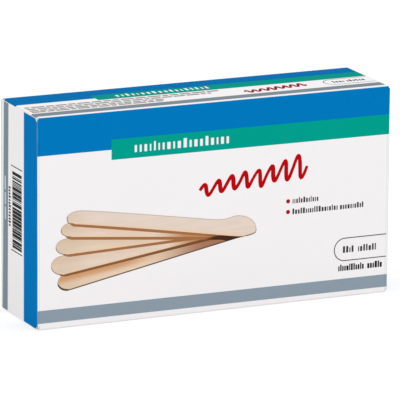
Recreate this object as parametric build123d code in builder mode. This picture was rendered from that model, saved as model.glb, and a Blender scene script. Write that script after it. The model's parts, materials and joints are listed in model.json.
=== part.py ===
from build123d import *
from math import acos, atan2, degrees, radians, sin, sqrt
import os

os.makedirs("parts", exist_ok=True)

# Wooden sticks inside: flat slats with fully rounded ends, laid in two columns
stick_length = 150.0
stick_width = 17.5
stick_thickness = 1.68
layer_gap = 0.02           # air left between slats by their own roughness
column_names = ("front", "back")
layers = 50
hidden_layers = 15         # behind the lower dust flaps, and as many behind the upper ones

# Folding board and its creases
board = 0.45               # thickness of the board
crease_radius = 0.4        # middle of the board, at every fold

# Room between the sticks and the board
end_room = 1.45            # from a stick's tip to the dust flaps
head_room = 0.9            # over the top layer
side_room = 0.1            # from the front column to the inside curve of the front creases
column_gap = 0.1
tuck_room = 1.9            # behind the back column, for the tuck tongues

# End flaps
flap_clearance = 0.15      # end flap to the raw edges and folds that it closes over
tuck_clearance = 0.15      # tongue to the back panel, and to the sticks
flap_edge_gap = 0.4        # end flap's raw top and bottom edges to the carton's height
hinge_relief = 1.8         # corners cut off beside the hinge, where the sleeve's folds are
tongue_shoulder = 1.2      # step from the flap's edge in to the tongue's
tongue_corner = 6.0

# Dust flaps, folded in behind the end flaps
dust_length = 27.0
dust_side_gap = 0.5
dust_straight = 4.0        # from the fold to where the sides begin to taper
dust_taper = 5.0
dust_corner = 2.0

# Glue flap, a lap on the inside of the back panel
lap_height = 12.0
lap_taper = 5.0
lap_clearance = 0.8        # to the tips of the tuck tongues
seam_gap = 0.4             # back panel's raw lower edge above the ground

# Carton round its contents
columns_depth = len(column_names) * (stick_width + column_gap) - column_gap
layer_pitch = stick_thickness + layer_gap
contents_height = layers * layer_pitch
end_layers = 2 * board + flap_clearance
front_room = side_room + crease_radius - board / 2
carton_length = stick_length + 2 * (end_room + end_layers)
carton_depth = 2 * board + front_room + columns_depth + tuck_room
carton_height = 2 * board + contents_height + head_room

half_length = carton_length / 2
half_depth = carton_depth / 2
crease_outer = crease_radius + board / 2
sleeve_end = half_length - board - flap_clearance
front_mid = -half_depth + board / 2
back_mid = half_depth - board / 2
back_inside = half_depth - board
sticks_front = -half_depth + board + front_room
sticks_back = sticks_front + columns_depth

# Swing of the end flaps: a tongue is an arc about its flap's own hinge line
hinge_x = half_length - board / 2
hinge_y = front_mid
swing = back_inside - tuck_clearance - board / 2 - hinge_y
crease_rise = sqrt((swing - crease_radius) ** 2 - crease_radius ** 2)
crease_turn = 180 - degrees(atan2(crease_rise, crease_radius))
tongue_sweep = degrees(acos((sticks_back + tuck_clearance - hinge_y) / (swing - board / 2)))
tongue_reach = board / 2 + (swing + board / 2) * sin(radians(tongue_sweep))

# Dust flaps: a strip folded over the end, cut to its shouldered and tapered outline
dust_front = -half_depth + board + dust_side_gap
dust_middle = (dust_front + sticks_back) / 2
dust_width = sticks_back - dust_front
dust_tip = carton_height - dust_length

with BuildPart() as dust_flaps:
    with BuildSketch(Plane.XZ.offset(-sticks_back)):
        with BuildLine():
            FilletPolyline(
                (sleeve_end - 2 * crease_outer, carton_height - board / 2),
                (sleeve_end - board / 2, carton_height - board / 2),
                (sleeve_end - board / 2, dust_tip),
                radius=crease_radius,
            )
        trace(line_width=board)
    extrude(amount=dust_width)
    with BuildSketch(Plane.YZ):
        with BuildLine():
            Polyline(
                (dust_front, carton_height),
                (dust_front, carton_height - dust_straight),
                (dust_front + dust_taper, dust_tip),
                (sticks_back - dust_taper, dust_tip),
                (sticks_back, carton_height - dust_straight),
                (sticks_back, carton_height),
                close=True,
            )
        dust_outline = make_face()
        fillet(dust_outline.vertices().group_by(Axis.Y)[0], radius=dust_corner)
    extrude(amount=half_length, mode=Mode.INTERSECT)
    mirror(about=Plane.YZ)
    mirror(about=Plane.XY.offset(carton_height / 2))

# Sleeve: front, top, back and bottom panels as one folded strip, lapped at the lower back edge
with BuildPart() as carton_sleeve:
    with BuildSketch(Plane.YZ.offset(-sleeve_end)):
        with BuildLine():
            FilletPolyline(
                (back_mid, seam_gap),
                (back_mid, carton_height - board / 2),
                (front_mid, carton_height - board / 2),
                (front_mid, board / 2),
                (back_mid - board, board / 2),
                (back_mid - board, lap_height),
                radius=crease_radius,
            )
        trace(line_width=board)
    extrude(amount=2 * sleeve_end)
    # The glue flap ends short of the tuck tongues, with slanted ends
    lap_end = half_length - tongue_reach - lap_clearance
    with BuildSketch(Plane.XZ.offset(-back_inside)):
        with BuildLine():
            Polyline(
                (lap_end, 0),
                (half_length, 0),
                (half_length, lap_height),
                (lap_end - lap_taper, lap_height),
                close=True,
            )
        make_face()
        mirror(about=Plane.YZ)
    extrude(amount=board, mode=Mode.SUBTRACT)
    # Back panel's free ends, which hold the tucked tongues
    with BuildSketch(Plane.XZ.offset(-half_depth)):
        with Locations((0, (carton_height - crease_outer + seam_gap) / 2)):
            Rectangle(carton_length, carton_height - crease_outer - seam_gap)
    extrude(amount=board)
    # Ends of the top and bottom panels give way to the folds of the dust flaps
    with BuildSketch(Plane.XY):
        with Locations((crease_outer / 2 - sleeve_end, dust_middle)):
            Rectangle(crease_outer, dust_width)
        mirror(about=Plane.YZ)
    extrude(amount=carton_height, mode=Mode.SUBTRACT)
    add(dust_flaps.part)

carton_sleeve.part.label = "carton_sleeve"
export_step(carton_sleeve.part, "parts/carton_sleeve.step")

# End flaps: closing panel and tuck tongue, hinged at the front panel's upright edges
flap_height = carton_height - 2 * flap_edge_gap
tongue_height = flap_height - 2 * tongue_shoulder

for end, node in ((-1, "left_end_flap"), (1, "right_end_flap")):
    with BuildPart() as end_flap:
        with BuildSketch(Plane.XY.offset(flap_edge_gap)):
            with BuildLine():
                panel = Line((end * hinge_x, hinge_y), (end * hinge_x, hinge_y + crease_rise))
                crease = JernArc(panel @ 1, panel % 1, crease_radius, end * crease_turn)
                JernArc(crease @ 1, crease % 1, swing, end * tongue_sweep)
            trace(line_width=board)
            with Locations((end * hinge_x, hinge_y)):
                Circle(board / 2)
        extrude(amount=flap_height)
        with BuildSketch(Plane.XZ.offset(-half_depth)) as flap_outline:
            with Locations((end * (half_length - tongue_reach / 2), carton_height / 2)):
                Rectangle(tongue_reach, tongue_height)
            tongue_tips = flap_outline.vertices().sort_by(Axis.X, reverse=end > 0)[-2:]
            fillet(tongue_tips, radius=tongue_corner)
            with Locations((end * hinge_x, carton_height / 2)):
                Rectangle(board, flap_height)
        extrude(amount=carton_depth, mode=Mode.INTERSECT)
        with BuildSketch(Plane.YZ.offset(end * half_length)):
            for corner, cut in ((flap_edge_gap, hinge_relief), (flap_edge_gap + flap_height, -hinge_relief)):
                with BuildLine():
                    Polyline(
                        (-half_depth, corner),
                        (hinge_relief - half_depth, corner),
                        (-half_depth, corner + cut),
                        close=True,
                    )
                make_face()
        extrude(amount=-end * board, mode=Mode.SUBTRACT)
    end_flap.part.label = node
    export_step(end_flap.part, f"parts/{node}.step")

# Wooden sticks: what the dust flaps always hide is one solid stack, the slats between lie loose
stack_height = hidden_layers * layer_pitch - layer_gap
upper_level = board + (layers - hidden_layers) * layer_pitch
loose_levels = [board + layer * layer_pitch for layer in range(hidden_layers, layers - hidden_layers)]

for column, side in enumerate(column_names):
    column_middle = sticks_front + stick_width / 2 + column * (stick_width + column_gap)
    for place, levels, thickness in (
        ("lower", [board], stack_height),
        ("middle", loose_levels, stick_thickness),
        ("upper", [upper_level], stack_height),
    ):
        with BuildPart() as depressors:
            with BuildSketch(*[Plane.XY.offset(level) for level in levels]):
                with Locations((0, column_middle)):
                    SlotOverall(stick_length, stick_width)
            extrude(amount=thickness)
        depressors.part.label = f"{side}_depressors_{place}"
        export_step(depressors.part, f"parts/{side}_depressors_{place}.step")
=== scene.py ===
import bpy
import bmesh
import json
import random
from math import cos, pi, radians, sin
from mathutils import Matrix, Vector


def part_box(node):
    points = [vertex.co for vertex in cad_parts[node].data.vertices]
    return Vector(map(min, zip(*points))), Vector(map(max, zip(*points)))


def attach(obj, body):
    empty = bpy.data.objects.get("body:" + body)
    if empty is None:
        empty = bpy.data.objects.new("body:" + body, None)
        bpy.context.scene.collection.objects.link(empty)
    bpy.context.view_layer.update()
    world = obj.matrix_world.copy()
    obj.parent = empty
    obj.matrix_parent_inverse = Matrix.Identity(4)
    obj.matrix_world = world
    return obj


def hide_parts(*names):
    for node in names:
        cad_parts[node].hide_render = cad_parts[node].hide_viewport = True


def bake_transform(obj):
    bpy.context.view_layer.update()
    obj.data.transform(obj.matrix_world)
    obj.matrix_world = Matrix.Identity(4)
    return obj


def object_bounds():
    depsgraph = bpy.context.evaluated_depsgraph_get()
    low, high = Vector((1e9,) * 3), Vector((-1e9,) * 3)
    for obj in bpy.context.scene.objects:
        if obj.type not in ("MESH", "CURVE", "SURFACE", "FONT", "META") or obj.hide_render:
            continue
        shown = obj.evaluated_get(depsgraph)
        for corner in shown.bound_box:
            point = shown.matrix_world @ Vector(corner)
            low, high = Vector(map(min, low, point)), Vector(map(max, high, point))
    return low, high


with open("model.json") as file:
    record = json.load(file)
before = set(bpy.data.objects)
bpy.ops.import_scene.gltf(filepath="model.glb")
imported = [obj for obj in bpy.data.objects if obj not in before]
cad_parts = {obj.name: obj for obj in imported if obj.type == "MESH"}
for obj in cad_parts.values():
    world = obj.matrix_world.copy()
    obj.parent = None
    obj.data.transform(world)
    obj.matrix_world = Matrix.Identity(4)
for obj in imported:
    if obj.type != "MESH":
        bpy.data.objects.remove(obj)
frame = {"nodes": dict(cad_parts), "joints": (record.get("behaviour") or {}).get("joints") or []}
cadLow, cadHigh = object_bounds()
mm = 0.001
random.seed(50)
bpy.context.scene.view_settings.view_transform = "Standard"
print("frame loaded")


# Camera

view = {"place": (-0.75365, -1.67409, 0.49852), "yaw": 24.284, "pitch": 13.968, "roll": 0.409,
        "lens": 419.67, "sensor": 36, "clip": (0.1, 50)}


def placeCamera():
    turn = (Matrix.Rotation(radians(-view["yaw"]), 4, "Z")
            @ Matrix.Rotation(radians(90 - view["pitch"]), 4, "X")
            @ Matrix.Rotation(radians(view["roll"]), 4, "Z"))
    bpy.ops.object.camera_add(location=view["place"], rotation=turn.to_euler())
    camera = bpy.context.object
    camera.name = "camera"
    camera.data.sensor_width = view["sensor"]
    camera.data.lens = view["lens"]
    camera.data.clip_start, camera.data.clip_end = view["clip"]
    bpy.context.scene.camera = camera


placeCamera()
print("camera placed")


# Shader helpers

def rgb(red, green, blue):                  # 0 to 255 as a screen shows them, to Blender's linear values
    def linear(value):
        value /= 255
        return value / 12.92 if value <= 0.04045 else ((value + 0.055) / 1.055) ** 2.4
    return linear(red), linear(green), linear(blue), 1.0


def darkened(colour, share):
    return tuple(value * share for value in colour[:3]) + (1,)


class Signal:                               # a shader socket that takes part in Python arithmetic
    def __init__(self, shader, socket):
        self.shader, self.socket = shader, socket

    def math(self, operation, other=0.0, swap=False, clamp=False):
        first, second = (other, self) if swap else (self, other)
        return self.shader.node("Math", {"operation": operation, "use_clamp": clamp}, {0: first, 1: second})

    def __add__(self, other):
        return self.math("ADD", other)

    def __sub__(self, other):
        return self.math("SUBTRACT", other)

    def __rsub__(self, other):
        return self.math("SUBTRACT", other, swap=True)

    def __mul__(self, other):
        return self.math("MULTIPLY", other)

    def __abs__(self):
        return self.math("ABSOLUTE")

    __radd__, __rmul__ = __add__, __mul__

    def least(self, other):
        return self.math("MINIMUM", other)

    def most(self, other):
        return self.math("MAXIMUM", other)

    def clamped(self):
        return self.math("ADD", clamp=True)


class Shader:                               # one material or world, and its nodes
    def __init__(self, owner):
        self.owner = owner
        owner.use_nodes = True
        self.tree = owner.node_tree
        self.tree.nodes.clear()

    def node(self, kind, settings=None, sockets=None, output=0):
        made = self.tree.nodes.new("ShaderNode" + kind)
        for key, value in (settings or {}).items():
            setattr(made, key, value)
        for key, value in (sockets or {}).items():
            if isinstance(value, Signal):
                self.tree.links.new(value.socket, made.inputs[key])
            else:
                made.inputs[key].default_value = value
        return Signal(self, made.outputs[output]) if len(made.outputs) else made

    def place(self):                        # a spot on the piece, and its x, y and z, in metres
        spot = self.node("TexCoord", output="Object")
        return spot, [self.node("SeparateXYZ", None, {0: spot}, axis) for axis in range(3)]

    def noise(self, spot, scale, detail=2.0, rough=0.5, stretch=(1, 1, 1)):
        stretched = self.node("Mapping", None, {"Vector": spot, "Scale": stretch})
        sockets = {"Vector": stretched, "Scale": scale, "Detail": detail, "Roughness": rough}
        return self.node("TexNoise", None, sockets)

    def ramp(self, value, low, high):       # 0 below low, 1 above high, smooth between
        sockets = {0: value, 1: low, 2: high, 3: 0.0, 4: 1.0}
        return self.node("MapRange", {"interpolation_type": "SMOOTHSTEP"}, sockets)

    def fade(self, value, start, end):      # the same between two places in millimetres
        return self.ramp(value, start * mm, end * mm)

    def mix(self, factor, first, second):
        return self.node("Mix", {"data_type": "RGBA"}, {0: factor, 6: first, 7: second}, 2)

    def bump(self, height, strength, distance):
        return self.node("Bump", None, {"Strength": strength, "Distance": distance * mm, "Height": height})

    def finish(self, surface, kind="Material"):
        self.node("Output" + kind, None, {"Surface": surface})
        return self.owner


# Board finishes

inks = {
    "white": rgb(242, 239, 240),
    "blue": rgb(0, 118, 186),
    "green": rgb(0, 156, 139),
    "grey": rgb(140, 155, 167),
    # topBlue, topGreen and topGrey are the front's inks painted darker for the top panel: painted shade for
    # how the light falls on the top
    "topBlue": rgb(0, 109, 173),
    "topGreen": rgb(0, 146, 133),
    "topGrey": rgb(126, 138, 146),
    "endGrey": rgb(129, 142, 153),
    "red": rgb(186, 6, 14),
    "deepRed": rgb(142, 26, 30),
    "bullet": rgb(170, 20, 44),
    "text": rgb(60, 59, 60),
    "line": rgb(88, 87, 88),
    "black": rgb(34, 33, 34),
    "bars": rgb(54, 52, 52),
    "faint": rgb(154, 150, 150),
    "pale": rgb(202, 212, 218),
}
board = {"fibre": 900.0, "cloud": 26.0, "darkest": 0.95, "relief": (0.12, 0.04),
         "roughness": 0.56, "gloss": 0.025, "coatRoughness": 0.3, "specular": 0.0,
         "worn": rgb(240, 239, 236), "wear": 0.3, "wearWidth": 0.3, "wearPatches": (0.42, 0.68),
         "inside": (rgb(232, 228, 220), rgb(216, 210, 200)), "insideFibre": 700.0,
         "edge": (rgb(240, 239, 236), rgb(222, 219, 213)), "edgeFibre": 2600.0, "rawRelief": (0.3, 0.05),
         "fleck": rgb(164, 150, 132), "flecks": 0.25, "fleckPatches": (0.62, 0.74)}
cartonHalf = (cadHigh - cadLow) / 2


def printedSurface(shader, base, roughness, relief, gloss):
    return shader.finish(shader.node("BsdfPrincipled", None, {
        "Base Color": base, "Roughness": roughness, "Normal": relief, "Coat Weight": gloss,
        "Coat Roughness": board["coatRoughness"], "Specular IOR Level": board["specular"]}))


def cardboardInk(name, colour):             # ink on coated folding board, worn to the fibre along the folds
    shader = Shader(bpy.data.materials.new(name))
    spot, (x, y, z) = shader.place()
    fibres = shader.noise(spot, board["fibre"], 3, 0.6, (1, 1, 0.35))
    clouds = shader.noise(spot, board["cloud"], 3, 0.55)
    toEnd = cartonHalf.x - abs(x)
    toFace = cartonHalf.y - abs(y)
    toTop = cartonHalf.z - abs(z - cartonHalf.z)
    nearer, farther = toEnd.least(toFace), toEnd.most(toFace)
    toFold = nearer.most(farther.least(toTop))  # the second least of the three
    patches = shader.ramp(clouds, *board["wearPatches"])
    worn = (1 - shader.fade(toFold, 0.0, board["wearWidth"])) * patches * board["wear"]
    base = shader.mix(fibres * 0.35 + clouds * 0.4, colour, darkened(colour, board["darkest"]))
    base = shader.mix(worn, base, board["worn"])
    roughness = fibres * 0.08 + worn * 0.3 + (board["roughness"] - 0.04)
    relief = shader.bump(fibres * 0.6 + clouds * 0.4, *board["relief"])
    return printedSurface(shader, base, roughness, relief, (1 - worn) * board["gloss"])


def rawBoard(name, tones, scale):           # the uncoated inside of the board, and its cut edges
    shader = Shader(bpy.data.materials.new(name))
    spot, _ = shader.place()
    fibres = shader.noise(spot, scale, 4, 0.65, (1, 0.5, 1))
    flecks = shader.ramp(shader.noise(spot, scale * 0.6, 2), *board["fleckPatches"])
    base = shader.mix(fibres, *tones)
    base = shader.mix(flecks * board["flecks"], base, board["fleck"])
    return shader.finish(shader.node("BsdfPrincipled", None, {
        "Base Color": base, "Roughness": fibres * 0.1 + 0.78, "Specular IOR Level": 0.2,
        "Normal": shader.bump(fibres, *board["rawRelief"])}))


finishes = {name: cardboardInk(name + "_ink", colour) for name, colour in inks.items()}
finishes["inside"] = rawBoard("uncoated_inside", board["inside"], board["insideFibre"])
finishes["edge"] = rawBoard("cut_edge", board["edge"], board["edgeFibre"])
print("board finishes made")


# Modelling helpers

def choose(piece):                          # the only one selected, and active
    for thing in bpy.context.selected_objects:
        thing.select_set(False)
    piece.select_set(True)
    bpy.context.view_layer.objects.active = piece


def edit(piece):
    choose(piece)
    bpy.ops.object.mode_set(mode="EDIT")


def leave():
    bpy.ops.object.mode_set(mode="OBJECT")


def selectAll():
    bpy.ops.mesh.select_all(action="SELECT")


def pick(piece, kind, test):                # selects only the verts, edges or faces that pass the test
    bpy.ops.mesh.select_mode(type={"verts": "VERT", "edges": "EDGE", "faces": "FACE"}[kind])
    bpy.ops.mesh.select_all(action="DESELECT")
    mesh = bmesh.from_edit_mesh(piece.data)
    for item in getattr(mesh, kind):
        item.select_set(bool(test(item)))
    mesh.select_flush_mode()
    bmesh.update_edit_mesh(piece.data)


def join(name, pieces):
    choose(pieces[0])
    for piece in pieces:
        piece.select_set(True)
    if len(pieces) > 1:
        bpy.ops.object.join()
    joined = bpy.context.object
    joined.name = joined.data.name = name
    return joined


def addFinishes(piece, names):
    for name in names:
        piece.data.materials.append(finishes[name])


# Board panels: copies of the CAD pieces, cut where colours meet

frontBands = {"blueFoot": 70.95, "greenTop": 75.1, "greenFoot": 66.8, "greenStart": -45.6,
              "greyTop": 7.8, "greyFoot": 2.5, "askew": -0.003}     # the print slants a little on its panel
topBands = {"blueFoot": 4.65, "greenTop": 9.6, "greenFoot": 1.2, "greenStart": -42.65,
            "greyTop": -11.6, "greyFoot": -17.0, "margin": 76.2}    # the print ends short of the right fold
endBands = {"blueEnd": (-4.75, -0.0064), "greyStart": (12.5, -0.0185),
            "greyEnd": (17.75, -0.0214)}    # where each edge stands at the foot, and how it leans
bandEdges = ("blueFoot", "greenTop", "greenFoot", "greyTop", "greyFoot")
panelInks = ("white", "blue", "green", "grey", "topBlue", "topGreen", "topGrey", "endGrey", "inside", "edge")
hinge = next(joint["pos_m"] for joint in frame["joints"] if joint["child"] == "right_flap")
foldX, foldY = (value / mm for value in hinge[:2])      # the left flap's hinge is its mirror image
sheet = {"skin": 0.3, "dustX": 76.27, "dustFront": -18.2, "dustBack": 16.8, "dustFold": 0.7,
         "tongue": 36.5, "creaseX": foldX - 0.4, "creaseY": 17.86, "creaseInside": 0.3}


def bandColour(bands, along, up):
    if bands["greyFoot"] < up < bands["greyTop"]:
        return "grey"
    if along > bands["greenStart"] and bands["greenFoot"] < up < bands["greenTop"]:
        return "green"
    if up > (bands["blueFoot"] if along < bands["greenStart"] else bands["greenTop"]):
        return "blue"
    return "white"


def frontColour(x, z):
    return bandColour(frontBands, x, z - frontBands["askew"] * x)


def topColour(x, y):
    colour = bandColour(topBands, x, y) if x < topBands["margin"] else "white"
    # coloured print on the top takes the darker top inks: painted shade
    return colour if colour == "white" else "top" + colour.capitalize()


def dustColour(x, y, normal, toTop):        # a dust flap and its fold
    level = abs(normal.z) > 0.9
    if abs(normal.y) > 0.5 or level and toTop > 1:
        return "edge"
    if normal.x * x > 0 and abs(normal.x) > 0.05 or level and toTop < 0.1:
        return topColour(x, y) if toTop < sheet["dustFold"] else "white"
    return "inside"


def sleeveColour(face):
    x, y, z = face.calc_center_median() / mm
    normal = face.normal
    toFace = cartonHalf.y / mm - abs(y)
    toTop = min(z, 2 * cartonHalf.z / mm - z)
    if abs(x) > sheet["dustX"] and sheet["dustFront"] < y < sheet["dustBack"]:
        return dustColour(x, y, normal, toTop)
    if abs(normal.x) > 0.7:
        return "edge"
    if min(toFace, toTop) > sheet["skin"]:
        return "inside"
    if y > 0 and normal.z < -0.7 and z > 0.1:   # the back panel's raw lower edge
        return "edge"
    if toFace < toTop:
        return frontColour(x if y < 0 else -x, z)
    return topColour(x, y)


def leaning(band, z):                       # where the edge of an end's stripe is at height z
    foot, lean = endBands[band]
    return foot + lean * z


def tongueColour(outward, alongY, fromFold, fromCrease):    # coated on the side towards the back panel
    facing = Vector((outward, alongY)).dot(fromFold.normalized())
    if facing < -0.6 or fromCrease < sheet["creaseInside"]:
        return "inside"
    return "white" if facing > 0.6 or outward > 0.05 else "edge"


def endColour(face):
    x, y, z = face.calc_center_median() / mm
    normal = face.normal
    if abs(normal.z) > 0.5:
        return "edge"
    outward = normal.x * (1 if x > 0 else -1)
    fromFold = Vector((abs(x) - foldX, y - foldY))
    if fromFold.length > sheet["tongue"]:
        fromCrease = Vector((abs(x) - sheet["creaseX"], y - sheet["creaseY"])).length
        return tongueColour(outward, normal.y, fromFold, fromCrease)
    if outward > 0 or (y < foldY and abs(x) > foldX - sheet["skin"]):
        if leaning("greyStart", z) < y < leaning("greyEnd", z):
            return "endGrey"
        return "blue" if y < leaning("blueEnd", z) else "white"
    return "inside"


def printedPanel(node, name, body, cuts, colour):
    piece = bpy.data.objects.new(name, frame["nodes"][node].data.copy())
    bpy.context.scene.collection.objects.link(piece)
    edit(piece)
    selectAll()
    bpy.ops.mesh.remove_doubles(threshold=0.001 * mm)
    for across, places in cuts.items():
        for place in places:
            selectAll()
            bpy.ops.mesh.bisect(plane_co=Vector(across) * place * mm, plane_no=across)
    leave()
    piece.data.materials.clear()
    addFinishes(piece, panelInks)
    mesh = bmesh.new()
    mesh.from_mesh(piece.data)
    for face in mesh.faces:
        face.material_index = panelInks.index(colour(face))
        face.smooth = max(map(abs, face.normal)) < 0.9999
    mesh.to_mesh(piece.data)
    mesh.free()
    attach(piece, body)
    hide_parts(node)


printedPanel("carton_sleeve", "printed_sleeve", "carton", {
    (1, 0, 0): (frontBands["greenStart"], -frontBands["greenStart"],
                topBands["greenStart"], topBands["margin"]),
    (0, 1, 0): [topBands[edge] for edge in bandEdges],
    (-frontBands["askew"], 0, 1): [frontBands[edge] for edge in bandEdges],     # in front
    (frontBands["askew"], 0, 1): [frontBands[edge] for edge in bandEdges],      # at the back
}, sleeveColour)
for side in ("left", "right"):
    printedPanel(side + "_end_flap", side + "_printed_flap", side + "_flap",
                 {(0, 1, -lean): (foot,) for foot, lean in endBands.values()}, endColour)
print("printed panels made")


# Fold strips: the skin of the board across each end flap's hinge

fold = {"skin": 0.012, "radius": 0.225, "steps": 10, "panelRun": 0.9, "bend": 0.25, "flapRun": 0.6,
        "foot": 0.63, "top": 86.17, "wrap": 0.08,
        "beadFoot": 2.2, "beadTop": 84.6, "beadStart": (76.95, -18.63), "beadEnd": (77.04, -18.53),
        "beadBehind": 0.235, "beadRun": 0.95,
        "relief": (76.6, -19.1), "reliefRise": 2.2, "reliefLevels": {1: 86.4, -1: 0.4}}
stripInks = ("white", "blue", "green", "grey", "inside")


def outsidePath():                          # from the front panel round the fold to the flap
    reach = fold["radius"] + fold["skin"]
    path = [(foldX - fold["panelRun"], foldY - reach), (foldX - fold["bend"], foldY - reach)]
    for step in range(fold["steps"] + 1):
        turn = radians(90) * step / fold["steps"]
        path.append((foldX + reach * sin(turn), foldY - reach * cos(turn)))
    return path + [(foldX + reach, foldY + fold["flapRun"])]


def insidePath():                           # the same on the inner side, over the crease's bead
    (startX, startY), (endX, endY) = fold["beadStart"], fold["beadEnd"]
    path = [(foldX - fold["panelRun"], foldY + fold["beadBehind"])]
    for step in range(fold["steps"] + 1):
        share = step / fold["steps"]
        path.append((startX + (endX - startX) * share, startY + (endY - startY) * share))
    return path + [(endX, foldY + fold["beadRun"])]


def drawStrip(name, sign, path, heights):   # an upright line of edges, drawn out along the path
    bpy.ops.mesh.primitive_plane_add(size=1)
    piece = bpy.context.object
    piece.name = piece.data.name = name
    edit(piece)
    bpy.ops.mesh.delete(type="VERT")
    mesh = bmesh.from_edit_mesh(piece.data)
    startX, startY = path[0]
    line = [mesh.verts.new((sign * startX * mm, startY * mm, height * mm)) for height in heights]
    for low, high in zip(line, line[1:]):
        mesh.edges.new((low, high)).select_set(True)
    bmesh.update_edit_mesh(piece.data)
    for (fromX, fromY), (toX, toY) in zip(path, path[1:]):
        move = (sign * (toX - fromX) * mm, (toY - fromY) * mm, 0)
        bpy.ops.mesh.extrude_region_move(TRANSFORM_OT_translate={"value": move})
    return piece


def cutCorners(sign):                       # the flap's corners are cut off beside the hinge
    x, y = fold["relief"]
    for end, level in fold["reliefLevels"].items():
        selectAll()
        bpy.ops.mesh.bisect(plane_co=Vector((sign * x, y, level)) * mm, clear_outer=True,
                            plane_no=(sign * fold["reliefRise"], fold["reliefRise"], end))


def faceOutwards(piece, outward):
    selectAll()
    bpy.ops.mesh.normals_make_consistent(inside=False)
    leave()
    if sum((face.normal * face.area for face in piece.data.polygons), Vector()).dot(outward) < 0:
        edit(piece)
        selectAll()
        bpy.ops.mesh.flip_normals()
        leave()


def foldStrip(side, inner):
    sign = -1 if side == "left" else 1
    levels = sorted(frontBands[edge] + frontBands["askew"] * sign * foldX for edge in bandEdges)
    if inner:
        path, ends = insidePath(), ("beadFoot", "beadTop")
        start, end = fold["beadStart"], fold["beadEnd"]
    else:
        path, ends = outsidePath(), ("foot", "top")
        start, end = (foldX, foldY - fold["radius"]), (foldX + fold["radius"], foldY)
    name = f"{side}_fold_{'inside' if inner else 'outside'}"
    piece = drawStrip(name, sign, path, [fold[ends[0]], *levels, fold[ends[1]]])
    if not inner:
        cutCorners(sign)
    faceOutwards(piece, Vector((sign, -1, 0)) * (-1 if inner else 1))
    addFinishes(piece, stripInks)
    for face in piece.data.polygons:
        x, y, z = face.center / mm
        onFront = abs(x) < foldX + fold["wrap"] and y < foldY
        shown = "inside" if inner else frontColour(x, z) if onFront else "blue"
        face.material_index = stripInks.index(shown)
        face.use_smooth = True
    skin = piece.modifiers.new("skin", "SOLIDIFY")
    skin.thickness, skin.offset = fold["skin"] * mm, -1
    bpy.ops.object.modifier_apply(modifier="skin")
    sign * start[0] * mm
    start[1] * mm
    sign * end[0] * mm
    end[1] * mm
    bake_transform(piece)


for side in ("left", "right"):
    for inner in (False, True):
        foldStrip(side, inner)
print("fold strips made")


# Print: thin ink shapes, drawn flat in millimetres and laid on their panel

ink = {"sunk": 0.006, "proud": 0.03}
brush = {"flat": 0.024, "heights": (0.75, 1.15), "stray": 0.1,          # shares of the stroke's own sizes
         "press": 0.2, "widths": (0.9, 1.1)}
panels = {
    "front": Matrix(((1, 0, 0, 0), (0, 0, -1, cadLow.y), (0, 1, 0, 0), (0, 0, 0, 1))),
    "top": Matrix.Translation((0, 0, cadHigh.z)),
    "left": Matrix(((0, 0, -1, cadLow.x), (-1, 0, 0, 0), (0, 1, 0, 0), (0, 0, 0, 1))),
}
typeMarks = {"narrow": 0.2, "wide": 0.5, "rise": 0.32, "gap": 0.24,     # shares of the line's height
             "corner": 0.2}                 # in millimetres


def liftInk(piece, proud=ink["proud"]):     # gives a flat shape its film of ink
    edit(piece)
    selectAll()
    bpy.ops.transform.translate(value=(0, 0, -ink["sunk"] * mm))
    bpy.ops.mesh.extrude_region_move(TRANSFORM_OT_translate={"value": (0, 0, (ink["sunk"] + proud) * mm)})
    selectAll()
    bpy.ops.mesh.normals_make_consistent(inside=False)
    leave()
    return piece


def rectangle(left, foot, right, top):      # flat, and open for editing
    bpy.ops.mesh.primitive_plane_add(size=mm, location=((left + right) / 2 * mm, (foot + top) / 2 * mm, 0))
    piece = bpy.context.object
    bpy.ops.object.transform_apply(location=True, rotation=False, scale=False)
    edit(piece)
    bpy.ops.transform.resize(value=(right - left, top - foot, 1))
    return piece


def bar(left, foot, right, top, corner):
    piece = rectangle(left, foot, right, top)
    if corner:
        bpy.ops.mesh.bevel(offset=corner * mm, segments=4, affect="VERTICES")
    leave()
    return liftInk(piece)


def dot(across, up, radius):
    bpy.ops.mesh.primitive_circle_add(vertices=24, radius=radius * mm, fill_type="NGON",
                                      location=(across * mm, up * mm, 0))
    piece = bpy.context.object
    bpy.ops.object.transform_apply(location=True, rotation=False, scale=False)
    return liftInk(piece)


def openLabel(left, foot, right, top, line):    # a round-ended outline that runs off at the right
    piece = rectangle(left, foot, right, top)
    pick(piece, "verts", lambda vert: vert.co.x < (left + 0.1) * mm)
    bpy.ops.mesh.bevel(offset=(top - foot) * 0.499 * mm, segments=12, affect="VERTICES")
    selectAll()
    bpy.ops.mesh.inset(thickness=line * mm, depth=0)
    openFrom = (right - line) * mm
    pick(piece, "faces", lambda face: len(face.verts) > 4 or face.calc_center_median().x > openFrom)
    bpy.ops.mesh.delete(type="FACE")
    leave()
    return liftInk(piece)


def dashes(left, foot, right, top, gap):    # a made-up line of type: dashes of uneven width and height
    made, at, tall = [], left, top - foot
    while at < right - typeMarks["narrow"] * tall:
        end = min(at + random.uniform(typeMarks["narrow"], typeMarks["wide"]) * tall, right)
        rise = random.choice((0, 0, typeMarks["rise"])) * tall
        made.append(bar(at, foot, end, top + rise, min(typeMarks["corner"], (end - at) * 0.3)))
        at = end + gap * tall
    return made


def typeLines(places, gap=typeMarks["gap"]):
    return [dash for place in places for dash in dashes(*place, gap)]


def wordRows(left, ends, half, lengths, gap, room, corner):     # small print, one dash a word
    rows = []
    for level, end in ends:
        at = left
        while at < end - room:
            length = random.uniform(*lengths)
            rows.append(bar(at, level - half, min(at + length, end), level + half, corner))
            at += length + gap
    return rows


def barCode(left, right, foot, top, module, widths, gaps):  # a made-up run of thick and thin bars
    bars, at = [], foot
    while at < top - 2 * module:
        width = random.choice(widths) * module
        bars.append(bar(left, at, right, min(at + width, top), 0))
        at += width + random.choice(gaps) * module
    return bars


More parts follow.
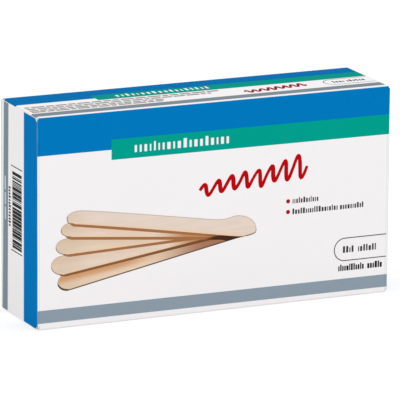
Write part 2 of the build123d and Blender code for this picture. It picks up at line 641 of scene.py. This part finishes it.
def codeMarks(left, right, foot, top, count, ragged, lengths, corner):  # a column of uneven ticks
    marks, pitch = [], (top - foot) / count
    for step in range(count):
        start, end = left + random.uniform(0, ragged), right - random.uniform(0, ragged)
        length = random.uniform(*lengths)
        marks.append(bar(start, foot + pitch * step, end, foot + pitch * (step + length), corner))
    return marks


def drawn(points, widths=None):             # a smooth curve along points, closed if it has no widths
    bpy.ops.curve.primitive_nurbs_path_add()
    curve = bpy.context.object
    curve.data.splines.clear()
    line = curve.data.splines.new("NURBS")
    line.points.add(len(points) - 1)
    for number, (point, (across, up)) in enumerate(zip(line.points, points)):
        point.co = (across * mm, up * mm, 0, 1)
        point.radius = widths[number] if widths else 1
    line.order_u, line.resolution_u = (4, 6) if widths else (3, 8)
    line.use_endpoint_u, line.use_cyclic_u = bool(widths), not widths
    curve.data.dimensions = "3D"
    if widths:
        curve.data.bevel_depth, curve.data.bevel_resolution = mm, 2
        curve.data.use_fill_caps = True
    choose(curve)
    bpy.ops.object.convert(target="MESH")
    return bpy.context.object


def outlined(points):                       # a flat shape inside a smooth closed line
    piece = drawn(points)
    edit(piece)
    selectAll()
    bpy.ops.mesh.edge_face_add()
    leave()
    return piece


def scrawl(start, end, waves, height, growth, slant, width):    # quick brush waves, thick where they fall
    points, widths = [], []
    for step in range(waves * 4 + 1):
        share, turn = step / (waves * 4), step * pi / 2
        reach = height * (1 + growth * share) * random.uniform(*brush["heights"]) * sin(turn)
        across = start[0] + (end[0] - start[0]) * share + slant * sin(turn)
        across += random.uniform(-brush["stray"], brush["stray"]) * height
        points.append((across, start[1] + (end[1] - start[1]) * share + reach))
        widths.append(width * (1 - brush["press"] * cos(turn)) * random.uniform(*brush["widths"]))
    piece = drawn(points, widths)
    piece.scale = (1, 1, brush["flat"])     # the round stroke is pressed flat
    bpy.ops.object.transform_apply(location=False, rotation=False, scale=True)
    return piece


def layPrint(name, panel, body, colour, shapes):
    piece = join(name, shapes)
    if colour:
        piece.data.materials.clear()
        addFinishes(piece, (colour,))
    choose(piece)
    piece.matrix_world = panels[panel] @ piece.matrix_world
    bpy.ops.object.transform_apply(location=True, rotation=True, scale=True)
    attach(piece, body)


frontPrint = {                              # type as left, foot, right and top
    "title": ((-35.6, 69.2, 5.6, 72.1),),
    "wave": {"start": (-7.0, 50.8), "end": (40.2, 56.6), "waves": 8, "height": 3.4,
             "growth": 1.2, "slant": 1.3, "width": 0.8},
    "bullets": ((32.2, 42.6, 0.9), (32.2, 38.15, 0.9)),
    "lines": ((34.2, 41.5, 45.7, 43.3), (34.2, 37.0, 54.5, 38.8), (55.6, 37.0, 66.9, 38.8)),
    "label": (53.1, 15.0, 77.03, 24.85, 0.4),
    "count": ((57.2, 18.5, 62.6, 20.6), (64.1, 18.5, 73.1, 20.6)),
    "size": ((55.2, 10.9, 67.1, 13.0), (68.4, 10.9, 75.3, 13.0)),
}
layPrint("front_title_marks", "front", "carton", "white", typeLines(frontPrint["title"], 0.4))
layPrint("front_brush_wave", "front", "carton", "red", [scrawl(**frontPrint["wave"])])
layPrint("front_bullets", "front", "carton", "bullet", [dot(*bullet) for bullet in frontPrint["bullets"]])
layPrint("front_list_marks", "front", "carton", "text", typeLines(frontPrint["lines"]))
layPrint("front_label", "front", "carton", "line", [openLabel(*frontPrint["label"])])
layPrint("front_count_marks", "front", "carton", "text", typeLines(frontPrint["count"]))
layPrint("front_size_marks", "front", "carton", "black", typeLines(frontPrint["size"], 0.15))

topPrint = {
    "rows": {"left": -75.6, "ends": ((-1.1, 10.5), (-4.0, 4.5), (-6.8, -17.5), (-9.3, -19.0)),
             "half": 0.9, "lengths": (1.8, 6.0), "gap": 0.7, "room": 1.5, "corner": 0.2},
    "title": ((-33.2, 4.2, 8.2, 6.9),),
    "wave": {"start": (18.0, -7.2), "end": (46.6, -4.2), "waves": 8, "height": 2.9,
             "growth": 0.4, "slant": 0.5, "width": 0.66},
    "label": (54.6, -9.2, 75.9, 0.1, 0.4),
    "count": ((58.6, -5.9, 63.6, -3.6), (64.9, -5.9, 73.2, -3.6)),
}
rows = wordRows(**topPrint["rows"])
layPrint("top_title_marks", "top", "carton", "white", typeLines(topPrint["title"], 0.5))
layPrint("top_note_rows", "top", "carton", "faint", rows)
layPrint("top_brush_wave", "top", "carton", "deepRed", [scrawl(**topPrint["wave"])])
layPrint("top_label", "top", "carton", "line", [openLabel(*topPrint["label"])])
layPrint("top_count_marks", "top", "carton", "text", typeLines(topPrint["count"]))

endPrint = {
    "code": {"left": -7.0, "right": 2.85, "foot": 28.2, "top": 60.2, "module": 0.34,
             "widths": (1, 1, 2, 3, 4), "gaps": (0.5, 0.6, 0.7, 1.7)},      # in modules
    "frames": ((-8.3, 26.8, 3.4, 27.2), (-8.3, 61.6, 3.4, 62.0)),
    "marks": {"left": -11.1, "right": -8.8, "foot": 36.3, "top": 53.1, "count": 13,
              "ragged": 0.5, "lengths": (0.5, 0.75), "corner": 0.15},       # lengths as shares of the pitch
    "note": ((-15.2, 38.0, -14.1, 43.3), (-15.2, 44.1, -14.1, 49.2), (-15.2, 50.2, -14.1, 56.0)),
}
layPrint("end_code_bars", "left", "left_flap", "bars",
         barCode(**endPrint["code"]) + [bar(*place, 0) for place in endPrint["frames"]])
layPrint("end_code_marks", "left", "left_flap", "text", codeMarks(**endPrint["marks"]))
layPrint("end_side_note", "left", "left_flap", "pale", [bar(*place, 0.3) for place in endPrint["note"]])
print("print laid")


# Printed picture: a fan of five sticks, from the lowest to the top one

fan = {
    "sticks": (                             # left end, then right end: x, y, half length, half height
        ((-64.2, 19.05, 4.5, 3.4), (12.0, 33.15, 2.8, 2.7)),
        ((-66.7, 25.9, 4.9, 3.95), (7.5, 34.6, 2.2, 2.2)),
        ((-65.0, 33.4, 4.6, 3.3), (7.5, 34.3, 2.0, 2.0)),
        ((-63.0, 40.1, 4.4, 2.95), (8.5, 33.0, 2.8, 2.9)),
        ((-61.4, 45.05, 3.4, 2.6), (13.0, 33.4, 4.8, 3.1)),
    ),
    "topStick": ((-57.5, 47.75), (-62.0, 47.5), (-64.8, 46.0), (-64.8, 43.9), (-64.1, 42.6), (-60.5, 42.2),
                 (-32.0, 37.6), (-4.0, 32.65), (6.0, 30.8), (12.4, 29.9), (15.9, 30.4), (18.0, 31.1),
                 (18.2, 33.0), (16.9, 36.2), (13.2, 38.4), (9.2, 39.15), (5.0, 38.0), (0.8, 38.0),
                 (-8.0, 39.5)),
    "crossing": ((-7.5, 30.1), (1.0, 31.5), (8.0, 31.0), (16.0, 31.2), (18.4, 31.2), (15.8, 30.15),
                 (12.3, 29.85), (8.5, 29.3), (5.3, 28.65), (3.4, 29.4), (0.0, 29.8)),
    "layers": (0.010, 0.007), "rim": 0.25,  # how proud the lowest ink is, and how much more each one over it
    "line": (0.12, 0.5), "sideEnd": 4.0,    # the lowest stick's outline stands out this far, left and down
    "drops": (None, (0.8, 1.35, 1.6), (1.05, 1.2, 2.0),     # a side's drop left and right, and its shift
              (1.3, 1.2, 1.6), (1.35, 1.45, 0.9)),
    "faces": (rgb(230, 204, 178), rgb(230, 210, 193), rgb(226, 206, 184), rgb(230, 210, 192),
              rgb(227, 210, 196)),
    "dusk": ((-32, -3, 0.95), (-23, -8, 0.95), (-26, -14, 0.9), (-28, -11, 0.9)),   # start, end, strength
    "duskTones": (rgb(160, 108, 78), rgb(186, 122, 74), rgb(186, 122, 74), rgb(186, 122, 74)),
    "glow": (0.9, 0.15, 0.15, 0.15), "glowDepth": (1.6, 4.6), "glowEnd": (-42, -20),
    "warm": rgb(202, 148, 102),
    "tipRun": (-51, -66, 0.42), "tip": rgb(204, 180, 154),
    "creamRun": (-1.5, -0.2, 0.6), "cream": rgb(232, 200, 168),
    "under": rgb(168, 114, 72), "underDark": rgb(142, 94, 56), "underDeep": rgb(122, 78, 50),
    "deep": rgb(70, 43, 30), "outline": rgb(86, 68, 54), "tipRim": rgb(110, 92, 78),
    "softRim": rgb(184, 172, 162),
}
topmost = len(fan["sticks"]) - 1


def lowerEdge(order):
    return [(across, up - height) for across, up, _, height in fan["sticks"][order]]


def pictureSurface(shader, base, streaks, gloss):
    return printedSurface(shader, base, streaks * 0.06 + board["roughness"],
                          shader.bump(streaks, 0.08, 0.03), gloss)


def picturedWood(order):                    # birch as printed, shaded where the stick above lies over it
    shader = Shader(bpy.data.materials.new(f"pictured_birch_{order}"))
    spot, (x, _, z) = shader.place()
    light = fan["faces"][order]
    streaks = shader.ramp(shader.noise(spot, 520.0, 4, 0.6, (0.1, 1, 1)), 0.34, 0.66)
    clouds = shader.noise(spot, 60.0, 2, 0.5, (0.3, 1, 1))
    base = shader.mix(streaks * 0.4 + clouds * 0.3 - 0.2, light, darkened(light, 0.86))

    def below(edge):                        # how far a spot lies under a stick's lower edge
        (startX, startZ), (endX, endZ) = edge
        run = Vector((endX - startX, endZ - startZ)).normalized()
        return (x - startX * mm) * run.y - (z - startZ * mm) * run.x

    start, end, strength = fan["tipRun"]
    base = shader.mix(shader.fade(x, start, end) * strength, base, fan["tip"])
    if order > 0:
        start, end, strength = fan["creamRun"]
        base = shader.mix(shader.fade(below(lowerEdge(order)), start, end) * strength, base, fan["cream"])
    if order < topmost:
        near = 1 - shader.fade(below(lowerEdge(order + 1)), *fan["glowDepth"])
        glow = near * (1 - shader.fade(x, *fan["glowEnd"])) * fan["glow"][order]
        base = shader.mix(glow, base, fan["warm"])
        start, end, strength = fan["dusk"][order]
        base = shader.mix(shader.fade(x, start, end) * strength, base, fan["duskTones"][order])
    return pictureSurface(shader, base, streaks, board["gloss"])


def picturedShade(name, light, dark, start, end):   # a stick's shaded side, darker towards the crossing
    shader = Shader(bpy.data.materials.new(name))
    spot, (x, _, _) = shader.place()
    streaks = shader.noise(spot, 300.0, 3, 0.6, (0.1, 1, 1))
    base = shader.mix(shader.fade(x, start, end), fan[light], fan[dark])
    base = shader.mix(streaks * 0.16, base, fan["deep"])
    return pictureSurface(shader, base, streaks, 0.0)


def taperedStick(left, right):              # a circle, drawn apart to half an ellipse at each end
    bpy.ops.mesh.primitive_circle_add(vertices=40, radius=mm, fill_type="NGON", location=(0, 0, 0))
    piece = bpy.context.object
    edit(piece)
    pick(piece, "verts", lambda vert: vert.co.x <= 0.01 * mm)
    for across, up, length, height in (left, right):
        bpy.ops.transform.resize(value=(length, height, 1), center_override=(0, 0, 0))
        bpy.ops.transform.translate(value=(across * mm, up * mm, 0))
        bpy.ops.mesh.select_all(action="INVERT")
    leave()
    return piece


def shadedSide(order):                      # a stick's side, or the lowest one's dark outline
    (leftX, leftY, *leftHalves), (rightX, rightY, *rightHalves) = fan["sticks"][order]
    if order == 0:
        across, down = fan["line"]
        return taperedStick((leftX - across, leftY - down, *leftHalves),
                            (rightX, rightY - down, *rightHalves))
    leftDrop, rightDrop, shift = fan["drops"][order]
    endX = fan["sideEnd"]
    endY = rightY - rightDrop + (endX - rightX) * (rightY - leftY) / (rightX - leftX)
    return taperedStick((leftX + shift, leftY - leftDrop, *leftHalves), (endX, endY, 1.0, rightHalves[1]))


def addRim(shape, stick):                   # soft above the stick's middle, dark round its ends
    edit(shape)
    selectAll()
    bpy.ops.mesh.inset(thickness=fan["rim"] * mm, depth=0)
    leave()
    (leftX, leftY), (rightX, rightY) = (end[:2] for end in stick)
    for face in shape.data.polygons:
        if not face.select:
            x, y = face.center.xy / mm
            upper = y > leftY + (rightY - leftY) * (x - leftX) / (rightX - leftX)
            face.material_index = 2 if upper else 0 if leftX < x < rightX else 1


def addToPicture(shape, materials, stick=None):
    for material in materials:
        shape.data.materials.append(material)
    if stick:
        addRim(shape, stick)
    first, step = fan["layers"]
    pictured.append(liftInk(shape, first + len(pictured) * step))


pictured = []
rims = [cardboardInk("pictured_" + name, fan[name]) for name in ("outline", "tipRim", "softRim")]
outline, tipRim, softRim = rims
paler = picturedShade("pictured_shade", "under", "underDark", -5, 1)
darker = picturedShade("pictured_low_shade", "underDark", "underDeep", -40, -4)
deepest = picturedShade("pictured_crossing", "underDark", "deep", -6, 0)
sides = (outline, darker, paler, paler, paler)
for order, stick in enumerate(fan["sticks"]):
    addToPicture(shadedSide(order), [sides[order]])
    materials = [picturedWood(order), tipRim if order else outline, softRim]
    if order < topmost:
        addToPicture(taperedStick(*stick), materials, stick)
    else:
        addToPicture(outlined(fan["crossing"]), [deepest])
        addToPicture(outlined(fan["topStick"]), materials, stick)
layPrint("front_stick_picture", "front", "carton", None, pictured)
print("picture laid")


# Depressors: one hundred loose slats in two columns

slat = {"length": 150.0, "width": 17.5, "thickness": 1.68, "pitch": 1.7, "rounding": 0.35,
        "shift": 0.55, "side": 0.04, "layers": {"lower": 15, "middle": 20, "upper": 15},
        "light": rgb(233, 214, 184), "dark": rgb(212, 184, 146), "pore": rgb(176, 138, 96)}


def birch():                                # each slat has its own tone, and its own part of the grain
    shader = Shader(bpy.data.materials.new("birch_veneer"))
    spot, _ = shader.place()
    tone = shader.node("Attribute", {"attribute_name": "slatTone"}, output="Fac")
    moved = shader.node("VectorMath", {"operation": "ADD"}, {
        0: spot, 1: shader.node("CombineXYZ", None, {0: tone * 0.9, 1: tone * 0.37, 2: tone * 0.2})})
    grain = shader.noise(moved, 520.0, 4, 0.62, (0.05, 1, 1))
    figure = shader.noise(moved, 60.0, 3, 0.5, (0.16, 1, 1))
    pores = shader.ramp(shader.noise(moved, 1500.0, 2, 0.5, (0.03, 1, 1)), 0.62, 0.72)
    depth = (grain * 0.55 + figure * 0.5 + tone * 0.35 - 0.2).clamped()
    base = shader.mix(depth, slat["light"], slat["dark"])
    base = shader.mix(pores * 0.35, base, slat["pore"])
    return shader.finish(shader.node("BsdfPrincipled", None, {
        "Base Color": base, "Roughness": grain * 0.16 + 0.52, "Specular IOR Level": 0.35,
        "Normal": shader.bump(grain * 0.7 + pores * -0.5, 0.35, 0.05)}))


def modelSlat():
    halfRun = (slat["length"] - slat["width"]) / 2
    bpy.ops.mesh.primitive_circle_add(vertices=24, radius=slat["width"] / 2 * mm, fill_type="NGON",
                                      location=(0, 0, 0),
                                      rotation=(0, 0, radians(7.5)))    # half a step: no vert in the middle
    piece = bpy.context.object
    bpy.ops.object.transform_apply(location=False, rotation=True, scale=False)
    edit(piece)
    for sign in (-1, 1):
        pick(piece, "verts", lambda vert: vert.co.x * sign > 0)
        bpy.ops.transform.translate(value=(sign * halfRun * mm, 0, 0))
    selectAll()
    bpy.ops.mesh.extrude_region_move(TRANSFORM_OT_translate={"value": (0, 0, slat["thickness"] * mm)})
    selectAll()
    bpy.ops.mesh.normals_make_consistent(inside=False)
    pick(piece, "edges", lambda line: abs(line.verts[0].co.z - line.verts[1].co.z) < 0.1 * mm)
    bpy.ops.mesh.bevel(offset=slat["rounding"] * mm, segments=1, affect="EDGES")
    leave()
    piece.data.materials.append(birch())
    for face in piece.data.polygons:
        face.use_smooth = abs(face.normal.z) < 0.99
    return piece


def stackSlats(master, node, count):        # copies, each a little out of line
    low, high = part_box(node)
    copies = []
    for layer in range(count):
        copy = master.copy()
        copy.data = master.data.copy()
        bpy.context.scene.collection.objects.link(copy)
        x = random.uniform(-1, 1) * slat["shift"] * mm
        y = (low.y + high.y) / 2 + random.uniform(-1, 1) * slat["side"] * mm
        copy.data.transform(Matrix.Translation((x, y, low.z + layer * slat["pitch"] * mm)))
        tone = copy.data.attributes.new("slatTone", "FLOAT", "POINT")
        tone.data.foreach_set("value", [random.random()] * len(copy.data.vertices))
        copies.append(copy)
    slats = join(node.replace("depressors", "slats"), copies)
    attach(slats, "carton")
    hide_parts(node)


master = modelSlat()
for column in ("front", "back"):
    for stack, count in slat["layers"].items():
        stackSlats(master, f"{column}_depressors_{stack}", count)
bpy.data.objects.remove(master)
print("slats stacked")


# Stage

studio = {"ambient": 0.9, "white": (1, 1, 1, 1), "floor": rgb(236, 236, 236), "seenFloor": rgb(170, 170, 170),
          "floorGlow": 0.63, "aim": (0, 0, 0.04),
          "lamps": (((-1.1, -1.6, 1.9), 2.2, 15.0), ((1.7, -1.3, 1.3), 2.0, 6.0))}      # place, size, power


def buildWorld():
    world = bpy.data.worlds.new("studio")
    bpy.context.scene.world = world
    shader = Shader(world)
    seen = shader.node("LightPath", output="Is Camera Ray")
    for other in ("Is Glossy Ray", "Is Transmission Ray"):
        seen = seen.most(shader.node("LightPath", output=other))
    soft = shader.node("Background", None, {"Color": studio["white"], "Strength": studio["ambient"]})
    white = shader.node("Background", None, {"Color": studio["white"], "Strength": 1.0})
    shader.finish(shader.node("MixShader", None, {0: seen, 1: soft, 2: white}), "World")


def buildFloor():
    bpy.ops.mesh.primitive_plane_add(size=30, location=(0, 0, -0.05 * mm))
    floor = bpy.context.object
    floor.name = "studio_floor"
    shader = Shader(bpy.data.materials.new("studio_floor"))
    matt = shader.node("BsdfDiffuse", None, {"Color": studio["floor"]})
    shadowed = shader.node("BsdfDiffuse", None, {"Color": studio["seenFloor"]})
    glow = shader.node("Emission", None, {"Color": studio["white"], "Strength": studio["floorGlow"]})
    bright = shader.node("AddShader", None, {0: shadowed, 1: glow})
    seen = shader.node("LightPath", output="Is Camera Ray")
    floor.data.materials.append(shader.finish(shader.node("MixShader", None, {0: seen, 1: matt, 2: bright})))


def placeLamps():
    for number, (place, size, power) in enumerate(studio["lamps"]):
        bpy.ops.object.light_add(type="AREA", location=place)
        lamp = bpy.context.object
        lamp.name = f"lamp_{number}"
        lamp.data.size, lamp.data.energy = size, power
        lamp.rotation_euler = (Vector(studio["aim"]) - Vector(place)).to_track_quat("-Z", "Y").to_euler()


buildWorld()
buildFloor()
placeLamps()
print("studio ready")
